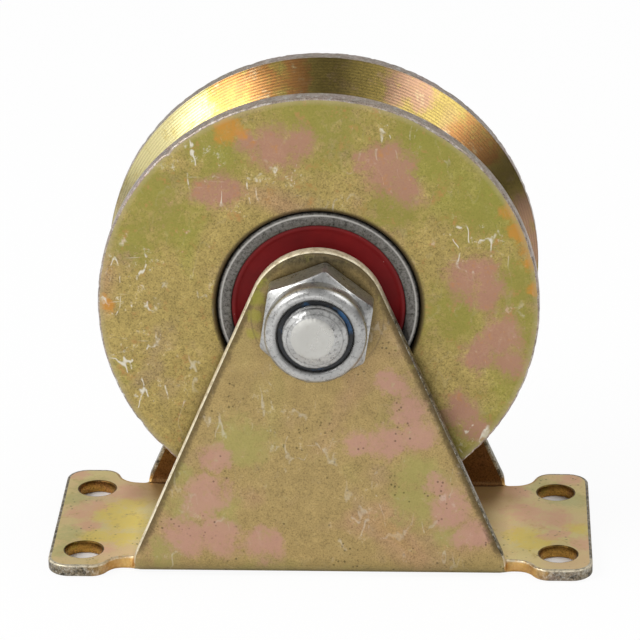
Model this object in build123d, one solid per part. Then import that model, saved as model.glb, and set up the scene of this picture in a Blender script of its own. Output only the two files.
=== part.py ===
from build123d import *
from math import asin, atan2, cos, hypot, radians, sin, sqrt, tan
import os

# Sliding door roller: a grooved wheel on two ball bearings in a folded sheet bracket.
# Millimetres. X runs along the rail, Y is the wheel axis (front is -Y), Z is up.
# The origin is the centre of the four base holes, on the underside of the base.

# Wheel
wheel_radius = 40.0
wheel_floor_gap = 11.0
rim_land = 2.9
groove_half_angle = 45.0
groove_root_half_width = 0.9
rim_edge_chamfer = 0.35
seat_mouth_chamfer = 0.6
seat_rib_half = 0.7

# Bearings, 12 x 37 x 12; a share is taken of the section between bore and rim, as such bearings are designed
bearing_bore_radius = 6.0
bearing_outer_radius = 18.5
bearing_recess = 0.3
ball_radius_share = 0.3175
ball_count = 6
ball_side_room = 2.03125
ball_gap = 0.06
groove_conformity = 1.04
inner_shoulder_share = 0.2
outer_shoulder_share = 0.212
seal_seat_share = 0.28
seal_seat_depth = 1.15
ring_corner_chamfer = 0.8
seal_thickness = 0.6
seal_bead_height = 0.9
seal_lip_gap = 0.1
cage_sheet = 0.5
cage_half_share = 0.092
cage_rivet_radius = 0.6

# Bracket
sheet = 2.5
fold_inner_radius = 0.8
cheek_lean = 2.2
flat_zone_drop = 17.0
knee_radius = 60.0
cheek_top_radius = 12.5
foot_half_width = 34.3
foot_corner_height = 3.46
foot_blend_radius = 7.0
axle_hole_clearance = 0.41
neck_inset = 2.0
neck_length = 3.1
neck_inner_radius = 2.0
ear_reach = 16.0
ear_flare_front = 1.1
ear_flare_rear = 2.8
ear_sweep_front = 5.6
ear_sweep_rear = 7.2
ear_corner_radius = 4.0
base_hole_radius = 3.5
base_hole_end_distance = 6.3
base_hole_spacing_y = 27.0
hole_mouth_radius = 0.45
edge_roll_radius = 0.5
ear_roll_radius = 0.3

# Axle bolt, lock nut and spacers
bolt_fit = 0.06
head_across_flats = 19.0
head_height = 7.5
washer_face_height = 0.5
nut_across_flats = 19.0
nut_hex_height = 6.0
nut_height = 9.9
nut_turn = 8.8
collar_inset = 0.3
collar_roll_radius = 1.7
lip_clearance = 0.76
lip_thickness = 0.8
bolt_point = 1.2
bolt_point_depth = 1.64
bolt_past_nut = 1.8
insert_height = 2.4
insert_wall = 2.0
side_spacer_length = 2.0
spacer_shoulder_gap = 0.45
running_gap = 0.03

# Sizes that follow
axle_height = wheel_radius + wheel_floor_gap
bearing_section = bearing_outer_radius - bearing_bore_radius
ball_radius = ball_radius_share * bearing_section
bearing_width = 2 * (ball_radius + ball_side_room)
bearing_centre = seat_rib_half + bearing_width / 2
bearing_face = seat_rib_half + bearing_width
wheel_half = bearing_face + bearing_recess
cheek_inner = bearing_face + side_spacer_length
cheek_outer = cheek_inner + sheet
seal_face = bearing_width / 2 - seal_seat_depth
ball_pitch_radius = (bearing_bore_radius + bearing_outer_radius) / 2
raceway_radius = ball_radius * groove_conformity
inner_shoulder_radius = ball_pitch_radius - inner_shoulder_share * bearing_section
outer_shoulder_radius = ball_pitch_radius + outer_shoulder_share * bearing_section
seal_seat_radius = ball_pitch_radius + seal_seat_share * bearing_section
cage_half_height = cage_half_share * bearing_section
bolt_radius = bearing_bore_radius - bolt_fit
bolt_point_radius = bolt_radius - bolt_point_depth
axle_hole_radius = bolt_radius + axle_hole_clearance
spacer_bore_radius = bolt_radius + running_gap
spacer_outer_radius = inner_shoulder_radius - spacer_shoulder_gap
collar_radius = nut_across_flats / 2 - collar_inset
lip_radius = bolt_radius + lip_clearance
fold_outer_radius = fold_inner_radius + sheet
foot_outer_half = cheek_outer + cheek_lean
neck_half = foot_outer_half - neck_inset
neck_end = foot_half_width + neck_length
ear_front = foot_outer_half + ear_flare_front
ear_rear = foot_outer_half + ear_flare_rear
ear_start_front = neck_end + ear_sweep_front
ear_start_rear = neck_end + ear_sweep_rear
ear_half_length = foot_half_width + ear_reach
base_hole_spacing_x = 2 * (ear_half_length - base_hole_end_distance)
axle_plane = Plane(origin=(0, 0, axle_height), x_dir=(1, 0, 0), z_dir=(0, -1, 0))


def turned(points):
    """Ring or disc turned about the wheel axis from (radius, y) points."""
    outline = Polyline(*points, close=True)
    face = make_face(Plane.XY * outline)
    return Pos(0, 0, axle_height) * revolve(face, Axis.Y)


def placed(shape, side):
    """Bearing piece moved to its seat; side is -1 at the front and 1 at the rear."""
    turned_round = mirror(shape, Plane.XZ) if side < 0 else shape
    return Pos(0, side * bearing_centre, 0) * turned_round


def torus_at_axle(major, minor):
    """Torus about the wheel axis, used to cut a ball track."""
    return Pos(0, 0, axle_height) * Rot(90, 0, 0) * Torus(major, minor)


def make_wheel():
    """Steel wheel: flat faces, rim lands, V groove and two bearing seats with a rib between."""
    groove_edge = wheel_half - rim_land
    groove_depth = (groove_edge - groove_root_half_width) / tan(radians(groove_half_angle))
    root_radius = wheel_radius - groove_depth
    rib_radius = seal_seat_radius
    half = [
        (rib_radius, 0),
        (rib_radius, seat_rib_half),
        (bearing_outer_radius, seat_rib_half),
        (bearing_outer_radius, wheel_half - seat_mouth_chamfer),
        (bearing_outer_radius + seat_mouth_chamfer, wheel_half),
        (wheel_radius - rim_edge_chamfer, wheel_half),
        (wheel_radius, wheel_half - rim_edge_chamfer),
        (wheel_radius, groove_edge),
        (root_radius, groove_root_half_width),
    ]
    other = [(r, -y) for r, y in reversed(half) if y > 0]
    return turned(half + other)


def make_outer_ring():
    """Bearing outer ring with ball track, seal seats and chamfered corners."""
    c = ring_corner_chamfer
    edge = bearing_width / 2
    half = [
        (outer_shoulder_radius, seal_face),
        (seal_seat_radius, seal_face),
        (seal_seat_radius, edge),
        (bearing_outer_radius - c, edge),
        (bearing_outer_radius, edge - c),
    ]
    other = [(r, -y) for r, y in reversed(half)]
    track_centre = ball_pitch_radius + ball_radius + ball_gap - raceway_radius
    return turned(half + other) - torus_at_axle(track_centre, raceway_radius)


def make_inner_ring():
    """Bearing inner ring with ball track and chamfered corners."""
    c = ring_corner_chamfer / 2
    edge = bearing_width / 2
    half = [
        (bearing_bore_radius, edge - c),
        (bearing_bore_radius + c, edge),
        (inner_shoulder_radius - c, edge),
        (inner_shoulder_radius, edge - c),
    ]
    other = [(r, -y) for r, y in reversed(half)]
    track_centre = ball_pitch_radius - ball_radius - ball_gap + raceway_radius
    return turned(half + other) - torus_at_axle(track_centre, raceway_radius)


def bearing_plane(side):
    """Mid plane of the bearing on one side, square to the axle, its z towards the front."""
    return Plane(origin=(0, side * bearing_centre, axle_height), x_dir=(1, 0, 0), z_dir=(0, -1, 0))


def ball_turns():
    """Turns about the axle that carry the first ball to each of the others."""
    return [Rot(0, 0, 90 + 360 / ball_count * step) for step in range(ball_count)]


def ball_shape(radius):
    """Ball on the pitch circle, or the space that a cage pocket leaves for it."""
    return Pos(ball_pitch_radius, 0, 0) * Rot(0, 90, 0) * Sphere(radius)


def make_balls(side):
    """The balls of one bearing, as a group."""
    balls = [turn * ball_shape(ball_radius) for turn in ball_turns()]
    return Compound(children=[bearing_plane(side) * ball for ball in balls])


def radial_rod(radius, length):
    """Round rod lying along a radius of the bearing, centred on the pitch circle."""
    return Pos(ball_pitch_radius, 0, 0) * Rot(0, 90, 0) * Rot(0, 0, 45) * Cylinder(radius, length)


def make_cage(side):
    """Ribbon cage: cupped pockets round the balls, flats between them, and a rivet in each flat."""
    pocket = ball_radius + ball_gap * 2
    cup = pocket + cage_sheet
    inner = ball_pitch_radius - cage_half_height
    outer = ball_pitch_radius + cage_half_height
    cup_length = 2.7 * cage_half_height
    ribbon = Cylinder(outer + 1, 2 * cage_sheet)
    rivet = Pos(ball_pitch_radius, 0, 0) * Cylinder(cage_rivet_radius, 4 * cage_sheet)
    half_step = Rot(0, 0, 180 / ball_count)
    for turn in ball_turns():
        ribbon = ribbon + turn * radial_rod(cup, cup_length)
    for turn in ball_turns():
        ribbon = ribbon + turn * half_step * rivet
    tube = Cylinder(outer, 4 * cup) - Cylinder(inner, 4 * cup)
    cage = ribbon & tube
    for turn in ball_turns():
        cage = cage - turn * radial_rod(pocket, 1.5 * cup_length)
    return bearing_plane(side) * cage


def make_seal(side):
    """Rubber seal on a steel disc, dished between its bead and its lip; side gives the bearing face."""
    bead = seal_seat_radius - seal_bead_height
    lip = inner_shoulder_radius + seal_lip_gap
    foot = seal_face
    dish = foot + seal_thickness
    top = foot + seal_bead_height
    disc = turned([
        (lip, foot),
        (seal_seat_radius, foot),
        (seal_seat_radius, top - 0.1),
        (seal_seat_radius - 0.1, top),
        (bead + 0.2, top),
        (bead - 0.2, dish),
        (lip + 1.1, dish),
        (lip + 0.8, top - 0.1),
        (lip + 0.2, top - 0.1),
        (lip, top - 0.3),
    ])
    return disc if side > 0 else mirror(disc, Plane.XZ)


def make_spacer(start, end):
    """Plain turned bush on the bolt between two y stations."""
    chamfer = 0.3
    return turned([
        (spacer_bore_radius, start),
        (spacer_outer_radius - chamfer, start),
        (spacer_outer_radius, start + min(chamfer, (end - start) / 4)),
        (spacer_outer_radius, end - min(chamfer, (end - start) / 4)),
        (spacer_outer_radius - chamfer, end),
        (spacer_bore_radius, end),
    ])


def inset_corners():
    """Corner points of the inner skin of the cheek section, a sheet inside the outer skin."""
    knee = axle_height - flat_zone_drop
    lean = atan2(foot_outer_half - cheek_outer, knee)
    foot_run = sheet * (1 + sin(lean)) / cos(lean)
    foot_y = foot_outer_half - sheet * cos(lean) - foot_run * sin(lean)
    knee_z = knee - sheet * tan(lean / 2)
    return (foot_y, sheet), (cheek_inner, knee_z)


def make_fold():
    """Bent sheet: base strip, two folds and two cheeks that lean in to the axle and stand straight there."""
    top = axle_height + cheek_top_radius * 1.5
    knee = axle_height - flat_zone_drop
    foot_in, knee_in = inset_corners()
    outer_half = [(foot_outer_half, 0), (cheek_outer, knee), (cheek_outer, top)]
    inner_half = [foot_in, knee_in, (cheek_inner, top)]
    outer = [(-y, z) for y, z in reversed(outer_half)] + outer_half
    inner = [(-y, z) for y, z in reversed(inner_half)] + inner_half
    bends_out = [knee_radius, fold_outer_radius, fold_outer_radius, knee_radius]
    bends_in = [knee_radius + sheet, fold_inner_radius, fold_inner_radius, knee_radius + sheet]
    skin_out = FilletPolyline(*outer, radius=bends_out)
    skin_in = FilletPolyline(*inner, radius=bends_in)
    caps = [Line(skin_out @ 0, skin_in @ 0), Line(skin_out @ 1, skin_in @ 1)]
    section = make_face(Curve() + [skin_out, skin_in] + caps)
    return extrude(Plane.YZ * section, amount=neck_end, both=True)


def make_cheek_outline():
    """Front view of a cheek: round top on the axle, slanted sides, upright foot."""
    rise = axle_height - foot_corner_height
    slant = atan2(foot_half_width, rise) - asin(cheek_top_radius / hypot(foot_half_width, rise))
    touch = (cheek_top_radius * cos(slant), axle_height + cheek_top_radius * sin(slant))
    crown = (0, axle_height + cheek_top_radius)
    corner = (foot_half_width, foot_corner_height)
    foot = (foot_half_width, -sheet)
    right = FilletPolyline(touch, corner, foot, radius=foot_blend_radius)
    left = mirror(right, Plane.YZ)
    arc = ThreePointArc((-touch[0], touch[1]), crown, touch)
    base = Line((-foot[0], foot[1]), foot)
    face = make_face(Curve() + [arc, right, left, base])
    return extrude(Plane.XZ * face, amount=foot_outer_half * 2, both=True)


def make_neck_outline():
    """Plan of the folded strip: as wide as the cheeks, with round inner corners into the necks."""
    strip = Rectangle(2 * foot_half_width, 4 * foot_outer_half)
    neck = Rectangle(2 * neck_end, 2 * neck_half)
    plan = strip + neck
    corners = plan.vertices().filter_by(lambda v: abs(abs(v.X) - foot_half_width) < 0.01
                                        and abs(abs(v.Y) - neck_half) < 0.01)
    plan = fillet(corners, neck_inner_radius)
    return extrude(plan, amount=sheet)


def ear_edge(start_x, end_y):
    """S-shaped edge from the neck out to an ear: two equal arcs, level at both ends."""
    mid = ((neck_end + start_x) / 2, (neck_half + end_y) / 2)
    first = TangentArc((neck_end, neck_half), mid, tangent=(1, 0))
    second = TangentArc((start_x, end_y), mid, tangent=(-1, 0))
    return [first, second]


def make_ear():
    """Plan of the right-hand ear, from the neck outwards."""
    rear = ear_edge(ear_start_rear, ear_rear)
    front = [mirror(edge, Plane.XZ) for edge in ear_edge(ear_start_front, ear_front)]
    rim = FilletPolyline((ear_start_rear, ear_rear), (ear_half_length, ear_rear),
                         (ear_half_length, -ear_front), (ear_start_front, -ear_front),
                         radius=ear_corner_radius)
    back = Polyline((neck_end, neck_half), (0, neck_half), (0, -neck_half), (neck_end, -neck_half))
    return make_face(Curve() + rear + front + [rim, back])


def make_base():
    """Flat part of the sheet: both ears and the floor between the folds."""
    ear = make_ear()
    plan = ear + mirror(ear, Plane.YZ)
    plate = extrude(plan, amount=sheet)
    top_edges = plate.faces().sort_by(Axis.Z)[-1].edges()
    rolled = top_edges.filter_by(lambda e: abs(e.center().X) > neck_end)
    plate = fillet(rolled, ear_roll_radius)
    fold_start = foot_outer_half - fold_outer_radius * 1.2
    strip = Box(2 * neck_end, 2 * fold_start, 4 * sheet)
    window = Box(2 * neck_end, 4 * neck_half, 4 * sheet) - strip
    return plate - window


def make_bracket():
    """Bracket: folded from one punched sheet."""
    fold = make_fold()
    cheeks = fold & make_cheek_outline()
    necks = fold & make_neck_outline()
    body = make_base() + cheeks + necks
    bore = axle_plane * Cylinder(axle_hole_radius, 4 * cheek_outer)
    body = body - bore
    for place in GridLocations(base_hole_spacing_x, base_hole_spacing_y, 2, 2):
        body = body - place * Cylinder(base_hole_radius, 4 * sheet)
    mouths = body.edges().filter_by(GeomType.CIRCLE).filter_by(
        lambda e: abs(e.radius - base_hole_radius) < 0.01 and e.center().Z > sheet / 2)
    body = fillet(mouths, hole_mouth_radius)
    crowns = body.edges().filter_by(GeomType.CIRCLE).filter_by(
        lambda e: abs(e.radius - cheek_top_radius) < 0.01 and abs(e.center().Y) > cheek_outer - 0.01)
    return fillet(crowns, edge_roll_radius)


def hexagon_blank(across_flats, height):
    """Hexagon on its seat at z = 0: a round washer face, then flats with corners chamfered at the top."""
    corner = across_flats / sqrt(3)
    wide = corner * 1.02
    cone_run = (wide - across_flats / 2) * tan(radians(30))
    washer_radius = across_flats / 2 - 0.3
    bar = extrude(RegularPolygon(corner, 6, rotation=90), amount=height)
    envelope = Polyline((0, 0), (washer_radius, 0), (washer_radius, washer_face_height),
                        (wide, washer_face_height), (wide, height - cone_run),
                        (across_flats / 2, height), (0, height), close=True)
    return bar & revolve(make_face(Plane.XZ * envelope), Axis.Z)


def make_bolt():
    """Hexagon bolt: head at the rear, plain shank, pointed end past the nut."""
    end = cheek_outer + nut_height + bolt_past_nut
    shank = turned([
        (0, cheek_outer),
        (bolt_radius, cheek_outer),
        (bolt_radius, bolt_point - end),
        (bolt_point_radius, -end),
        (0, -end),
    ])
    head = hexagon_blank(head_across_flats, head_height)
    seat = Plane(origin=(0, cheek_outer, axle_height), x_dir=(1, 0, 0), z_dir=(0, 1, 0))
    return shank + seat * head


def make_nut():
    """Lock nut: hexagon, collar rolled over the insert, plain bore at the thread's size."""
    hexagon = hexagon_blank(nut_across_flats, nut_hex_height)
    seat = Plane(origin=(0, -cheek_outer, axle_height), x_dir=(1, 0, 0), z_dir=(0, -1, 0))
    hexagon = seat * Rot(0, 0, -nut_turn) * hexagon
    top = cheek_outer + nut_height
    roll = collar_roll_radius
    start = (collar_radius, -(top - roll))
    end = (collar_radius - roll, -top)
    mid = (collar_radius - roll * (1 - sqrt(0.5)), -(top - roll * (1 - sqrt(0.5))))
    foot = cheek_outer + nut_hex_height / 2
    wall = Polyline(end, (lip_radius, -top), (0, -top), (0, -foot), (collar_radius, -foot), start)
    face = make_face(Curve() + [wall, ThreePointArc(start, mid, end)])
    collar = Pos(0, 0, axle_height) * revolve(Plane.XY * face, Axis.Y)
    pocket_top = top - lip_thickness
    pocket = turned([
        (0, -(pocket_top - insert_height)),
        (bolt_radius + insert_wall, -(pocket_top - insert_height)),
        (bolt_radius + insert_wall, -pocket_top),
        (lip_radius, -pocket_top),
        (lip_radius, -top - 1),
        (0, -top - 1),
    ])
    bore = axle_plane * Cylinder(bolt_radius + running_gap, 4 * top)
    return hexagon + collar - pocket - bore


def make_insert():
    """Nylon ring held in the nut's collar."""
    top = cheek_outer + nut_height - lip_thickness
    return turned([
        (bolt_radius + running_gap, -(top - insert_height)),
        (bolt_radius + insert_wall, -(top - insert_height)),
        (bolt_radius + insert_wall, -top),
        (bolt_radius + running_gap, -top),
    ])


def make_parts():
    """Every piece, by node name."""
    pieces = {
        "bracket": make_bracket(),
        "wheel": make_wheel(),
        "axle_bolt": make_bolt(),
        "lock_nut": make_nut(),
        "nylon_insert": make_insert(),
        "bearing_spacer": make_spacer(-seat_rib_half, seat_rib_half),
        "front_spacer": make_spacer(-cheek_inner, -bearing_face),
        "rear_spacer": make_spacer(bearing_face, cheek_inner),
    }
    for name, side in (("front", -1), ("rear", 1)):
        pieces[name + "_outer_ring"] = placed(make_outer_ring(), side)
        pieces[name + "_inner_ring"] = placed(make_inner_ring(), side)
        pieces[name + "_balls"] = make_balls(side)
        pieces[name + "_cage"] = make_cage(side)
        pieces[name + "_outboard_seal"] = placed(make_seal(1), side)
        pieces[name + "_inboard_seal"] = placed(make_seal(-1), side)
    return pieces


os.makedirs("parts", exist_ok=True)
for node, piece in make_parts().items():
    export_step(piece, "parts/" + node + ".step")
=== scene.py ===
import math

import bmesh
import bpy
from mathutils import Matrix, Vector, noise
from mathutils.geometry import delaunay_2d_cdt


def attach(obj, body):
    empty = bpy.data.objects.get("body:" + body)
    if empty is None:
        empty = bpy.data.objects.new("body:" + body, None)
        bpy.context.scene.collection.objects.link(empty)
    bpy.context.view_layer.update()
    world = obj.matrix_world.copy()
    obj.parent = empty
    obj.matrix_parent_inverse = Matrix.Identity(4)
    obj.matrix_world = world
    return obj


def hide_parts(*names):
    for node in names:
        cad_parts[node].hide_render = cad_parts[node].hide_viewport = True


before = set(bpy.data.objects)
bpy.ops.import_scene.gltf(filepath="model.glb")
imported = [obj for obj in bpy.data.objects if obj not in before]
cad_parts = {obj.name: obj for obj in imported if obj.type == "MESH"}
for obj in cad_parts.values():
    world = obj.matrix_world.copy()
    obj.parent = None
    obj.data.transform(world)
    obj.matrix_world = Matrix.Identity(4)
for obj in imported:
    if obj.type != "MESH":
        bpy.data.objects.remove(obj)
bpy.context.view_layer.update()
scene = bpy.context.scene
scene.view_settings.view_transform = "Standard"

# Camera: a long lens a little to the right of the wheel's axis and looking down on it,
# as the photograph was taken.
focal_pixels = 3819.2
frame_pixels = 640
sensor_width = 36
camera_place = (0.028176, -0.651912, 0.310257)
view_yaw = math.radians(2.499)
view_pitch = math.radians(22.247)
view_roll = math.radians(0.530)
camera_data = bpy.data.cameras.new("camera")
camera_data.sensor_width = sensor_width
camera_data.lens = focal_pixels / frame_pixels * sensor_width
camera = bpy.data.objects.new("camera", camera_data)
scene.collection.objects.link(camera)
forward = Vector((
    -math.sin(view_yaw) * math.cos(view_pitch),
    math.cos(view_yaw) * math.cos(view_pitch),
    -math.sin(view_pitch),
))
level_right = Vector((math.cos(view_yaw), math.sin(view_yaw), 0))
level_down = forward.cross(level_right)
right = math.cos(view_roll) * level_right + math.sin(view_roll) * level_down
down = -math.sin(view_roll) * level_right + math.cos(view_roll) * level_down
turn = Matrix((right, -down, -forward)).transposed()
camera.matrix_world = Matrix.Translation(camera_place) @ turn.to_4x4()
scene.camera = camera

# Floor: a pale matt sheet under the base. To the camera it is near white and keeps the shadow.
# The spots under the four base holes aren't lifted to white, so the holes show their own shade.
floor_half = 3
camera_lift = 0.93
hole_x = 0.044
hole_y = 0.0135
hole_shade_radius = 0.0046


class Nodes:
    """Adds nodes to the tree of a material or of the world, and links them."""

    def __init__(self, tree):
        self.tree = tree

    def link(self, value, socket):
        """Sets a socket to a number, a vector, a colour or another node's output."""
        if isinstance(value, bpy.types.NodeSocket):
            self.tree.links.new(value, socket)
        else:
            socket.default_value = value

    def add(self, kind, inputs, **settings):
        """New node with its settings, and with a value or a link for each socket that is named."""
        node = self.tree.nodes.new("ShaderNode" + kind)
        for name, value in settings.items():
            setattr(node, name, value)
        for socket, value in inputs.items():
            self.link(value, node.inputs[socket])
        return node

    def math(self, operation, a, b=0):
        return self.add("Math", {0: a, 1: b}, operation=operation).outputs[0]

    def product(self, value, *others):
        for other in others:
            value = self.math("MULTIPLY", value, other)
        return value

    def ramp(self, value, stops):
        """Colour or grey level that runs between stops of (position, colour or level)."""
        node = self.add("ValToRGB", {0: value})
        elements = node.color_ramp.elements
        while len(elements) < len(stops):
            elements.new(0.5)
        for element, (position, colour) in zip(elements, stops):
            element.position = position
            element.color = (*colour, 1) if isinstance(colour, tuple) else (colour, colour, colour, 1)
        return node.outputs["Color"]

    def blend(self, share, a, b, mode="MIX"):
        """Colour a with a share of colour b laid over it."""
        a, b = ((*colour, 1) if isinstance(colour, tuple) else colour for colour in (a, b))
        return self.add("Mix", {0: share, 6: a, 7: b}, data_type="RGBA", blend_type=mode).outputs[2]


floor_mesh = bpy.data.meshes.new("floor")
floor_corners = [(x * floor_half, y * floor_half, 0) for x, y in ((-1, -1), (1, -1), (1, 1), (-1, 1))]
floor_mesh.from_pydata(floor_corners, [], [(0, 1, 2, 3)])
floor = bpy.data.objects.new("floor", floor_mesh)
scene.collection.objects.link(floor)
floor_paint = bpy.data.materials.new("floor_paint")
floor_paint.use_nodes = True
nodes = Nodes(floor_paint.node_tree)
matt = nodes.tree.nodes["Principled BSDF"]
nodes.link((0.93, 0.93, 0.93, 1), matt.inputs["Base Color"])
nodes.link(0.9, matt.inputs["Roughness"])
place = nodes.add("TexCoord", {}).outputs["Object"]
quarter = nodes.add("VectorMath", {0: place}, operation="ABSOLUTE").outputs[0]
hole_spot = (hole_x, hole_y, 0)
from_hole = nodes.add("VectorMath", {0: quarter, 1: hole_spot}, operation="DISTANCE").outputs["Value"]
seen = nodes.add("LightPath", {}).outputs["Is Camera Ray"]
lift = nodes.product(seen, camera_lift, nodes.math("GREATER_THAN", from_hole, hole_shade_radius))
glow = nodes.add("Emission", {"Color": (1, 1, 1, 1)}).outputs[0]
surface = nodes.add("MixShader", {0: lift, 1: matt.outputs[0], 2: glow}).outputs[0]
nodes.link(surface, nodes.tree.nodes["Material Output"].inputs["Surface"])
floor_mesh.materials.append(floor_paint)

# Light: a pale studio tent with three soft boxes. A dark gap straight overhead and another low on the
# right show as brown bands in the polished groove, and a bright panel stands on the left. The camera
# itself sees plain white.
panel_level = 0.85
gap_depth = 0.9
aim = (0, 0, 0.05)
world = bpy.data.worlds.new("studio")
scene.world = world
world.use_nodes = True
nodes = Nodes(world.node_tree)
split = nodes.add("SeparateXYZ", {0: nodes.add("TexCoord", {}).outputs["Generated"]})
side_on = split.outputs["X"]
height = split.outputs["Z"]
tent_height = nodes.math("ADD", nodes.product(height, 0.5), 0.5)
tent = nodes.ramp(tent_height, [(0.45, 0.22), (0.52, 0.40), (0.62, 0.62), (0.80, 0.66), (1, 0.60)])
gap_across = nodes.ramp(nodes.math("ABSOLUTE", side_on), [(0.08, 1), (0.26, 0)])
gap_above = nodes.ramp(height, [(0.66, 0), (0.80, 1)])
low_right = nodes.ramp(side_on, [(0.80, 0), (0.92, 1)])
low_band = nodes.ramp(height, [(0.02, 0), (0.06, 1), (0.30, 1), (0.42, 0)])
gaps = nodes.math("MAXIMUM", nodes.product(gap_across, gap_above), nodes.product(low_right, low_band))
level = nodes.product(tent, nodes.math("SUBTRACT", 1, nodes.product(gaps, gap_depth)))
far_left = nodes.ramp(nodes.product(side_on, -1), [(0.62, 0), (0.76, 1)])
panel_band = nodes.ramp(height, [(0.02, 0), (0.12, 1), (0.60, 1), (0.70, 0)])
level = nodes.math("ADD", level, nodes.product(far_left, panel_band, panel_level))
seen = nodes.add("LightPath", {}).outputs["Is Camera Ray"]
nodes.link(nodes.blend(seen, level, (1, 1, 1)), nodes.tree.nodes["Background"].inputs["Color"])


def soft_box(name, place, width, height, power):
    """Rectangular area light that points at the roller."""
    data = bpy.data.lights.new(name, "AREA")
    data.shape = "RECTANGLE"
    data.size = width
    data.size_y = height
    data.energy = power
    lamp = bpy.data.objects.new(name, data)
    scene.collection.objects.link(lamp)
    lamp.location = place
    lamp.rotation_euler = (Vector(aim) - Vector(place)).to_track_quat("-Z", "Y").to_euler()


soft_box("upper_left_box", (-0.60, -0.35, 0.70), 0.5, 0.5, 4.2)
soft_box("upper_right_box", (0.65, -0.10, 0.75), 0.5, 0.5, 2)
soft_box("low_front_box", (-0.30, -0.95, 0.12), 0.7, 0.3, 1)

# Wheel: turned from steel bar, 80 mm across, with flat faces, a V groove and narrow rim lands.
# It is zinc plated and yellow passivated, so the colour drifts between gold, olive, pink and mauve.
axle_height = 0.051
wheel_radius = 0.040
wheel_half = 0.013
rim_land = 0.0029
rim_round = 0.00035
rim_edge_round = 0.0002
groove_root_half = 0.0009
groove_root_round = 0.0013
seat_radius = 0.0185
seat_mouth_round = 0.0006
rib_half = 0.0007
rib_radius = 0.01575
turning_pitch = 0.00042
rim_dents = ((318, 1.1, 0.00035), (31.5, 3.2, 0.00016), (38.5, 2.4, 0.00014))
groove_edge = wheel_half - rim_land
root_radius = wheel_radius - (groove_edge - groove_root_half)


def new_piece(mesh, body, node):
    """Links a mesh as a piece that rides on a body and stands for a CAD node."""
    piece = bpy.data.objects.new(mesh.name, mesh)
    scene.collection.objects.link(piece)
    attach(piece, body)
    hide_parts(node)
    return piece


def smooth_mesh(name, verts, faces, sharp_angle, merge=0):
    """Mesh with its faces turned outwards, smooth but for the edges above an angle in degrees."""
    mesh = bpy.data.meshes.new(name)
    mesh.from_pydata(verts, [], faces)
    mesh.shade_smooth()
    work = bmesh.new()
    work.from_mesh(mesh)
    if merge:
        bmesh.ops.remove_doubles(work, verts=work.verts, dist=merge)
    bmesh.ops.recalc_face_normals(work, faces=work.faces)
    work.normal_update()
    for edge in work.edges:
        if len(edge.link_faces) == 2 and edge.calc_face_angle(0) > math.radians(sharp_angle):
            edge.smooth = False
    work.to_mesh(mesh)
    work.free()
    return mesh


def turned_mesh(name, profile_at, segments, sharp_angle, closed=False):
    """Surface turned about the axle; profile_at gives the (radius, y) points at an angle."""
    verts = []
    faces = []
    for step in range(segments):
        a = 2 * math.pi * step / segments
        profile = profile_at(a)
        count = len(profile)
        verts += [(r * math.sin(a), y, axle_height + r * math.cos(a)) for r, y in profile]
        here = step * count
        there = (step + 1) % segments * count
        for index in range(count if closed else count - 1):
            after = (index + 1) % count
            faces.append((here + index, here + after, there + after, there + index))
    return smooth_mesh(name, verts, faces, sharp_angle, merge=2e-7)


def arc_points(centre, radius, start, end, steps):
    """Points (r, y) along an arc, angles in degrees from the +r direction towards +y."""
    turns = [math.radians(start + (end - start) * step / steps) for step in range(steps + 1)]
    return [(centre[0] + radius * math.cos(a), centre[1] + radius * math.sin(a)) for a in turns]


def mirrored(half):
    """Profile points followed by their mirror images across the middle."""
    return half + [(r, -y) for r, y in reversed(half) if abs(y) > 1e-9]


def subdivided(points, longest):
    """Closed profile with extra points so that no run is longer than a length."""
    out = []
    for here, there in zip(points, points[1:] + points[:1]):
        cuts = max(1, math.ceil(math.dist(here, there) / longest))
        for cut in range(cuts):
            out.append((here[0] + (there[0] - here[0]) * cut / cuts,
                        here[1] + (there[1] - here[1]) * cut / cuts))
    return out


mouth_centre = (seat_radius + seat_mouth_round, wheel_half - seat_mouth_round)
wheel_half_profile = (
    [(rib_radius, 0), (rib_radius, rib_half)]
    + [(seat_radius, rib_half), (seat_radius, wheel_half - seat_mouth_round * 1.5)]
    + arc_points(mouth_centre, seat_mouth_round, 180, 90, 5)
    + arc_points((wheel_radius - rim_round, wheel_half - rim_round), rim_round, 90, 0, 4)
    + arc_points((wheel_radius - rim_edge_round, groove_edge + rim_edge_round / 2), rim_edge_round, 0, -45, 3)
    + [(root_radius + 0.0006, groove_root_half + 0.0006)]
    + arc_points((root_radius + groove_root_round, 0), groove_root_round, 135, 180, 4)
)
wheel_profile = subdivided(mirrored(wheel_half_profile), 0.0035)


def worn_rim(angle, radius, y):
    """Rim edges knocked about: fine ragged wear, and a notch and two flats at the front edge."""
    if radius < wheel_radius - 0.0012:
        return radius, y
    on_front = y < -groove_edge
    at = Vector((math.sin(angle) * 22, math.cos(angle) * 22, 3 if on_front else 9))
    fine = noise.noise(at * 6) * 0.5 + 0.5
    broad = max(0, noise.noise(at * 1.3) - 0.1)
    if abs(abs(y) - wheel_half) < rim_round * 1.6:
        cut = 0.00010 * fine * fine + 0.00022 * broad
        radius -= cut
        y -= math.copysign(cut * 0.8, y)
    if on_front:
        for middle, width, depth in rim_dents:
            away = (math.degrees(angle) % 360 - middle + 180) % 360 - 180
            radius -= depth * math.exp(-(away / width) ** 2)
    return radius, y


wheel_mesh = turned_mesh(
    "wheel_body", lambda angle: [worn_rim(angle, r, y) for r, y in wheel_profile], 540, 32, closed=True)
wheel = new_piece(wheel_mesh, "wheel_assembly", "wheel")


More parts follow.
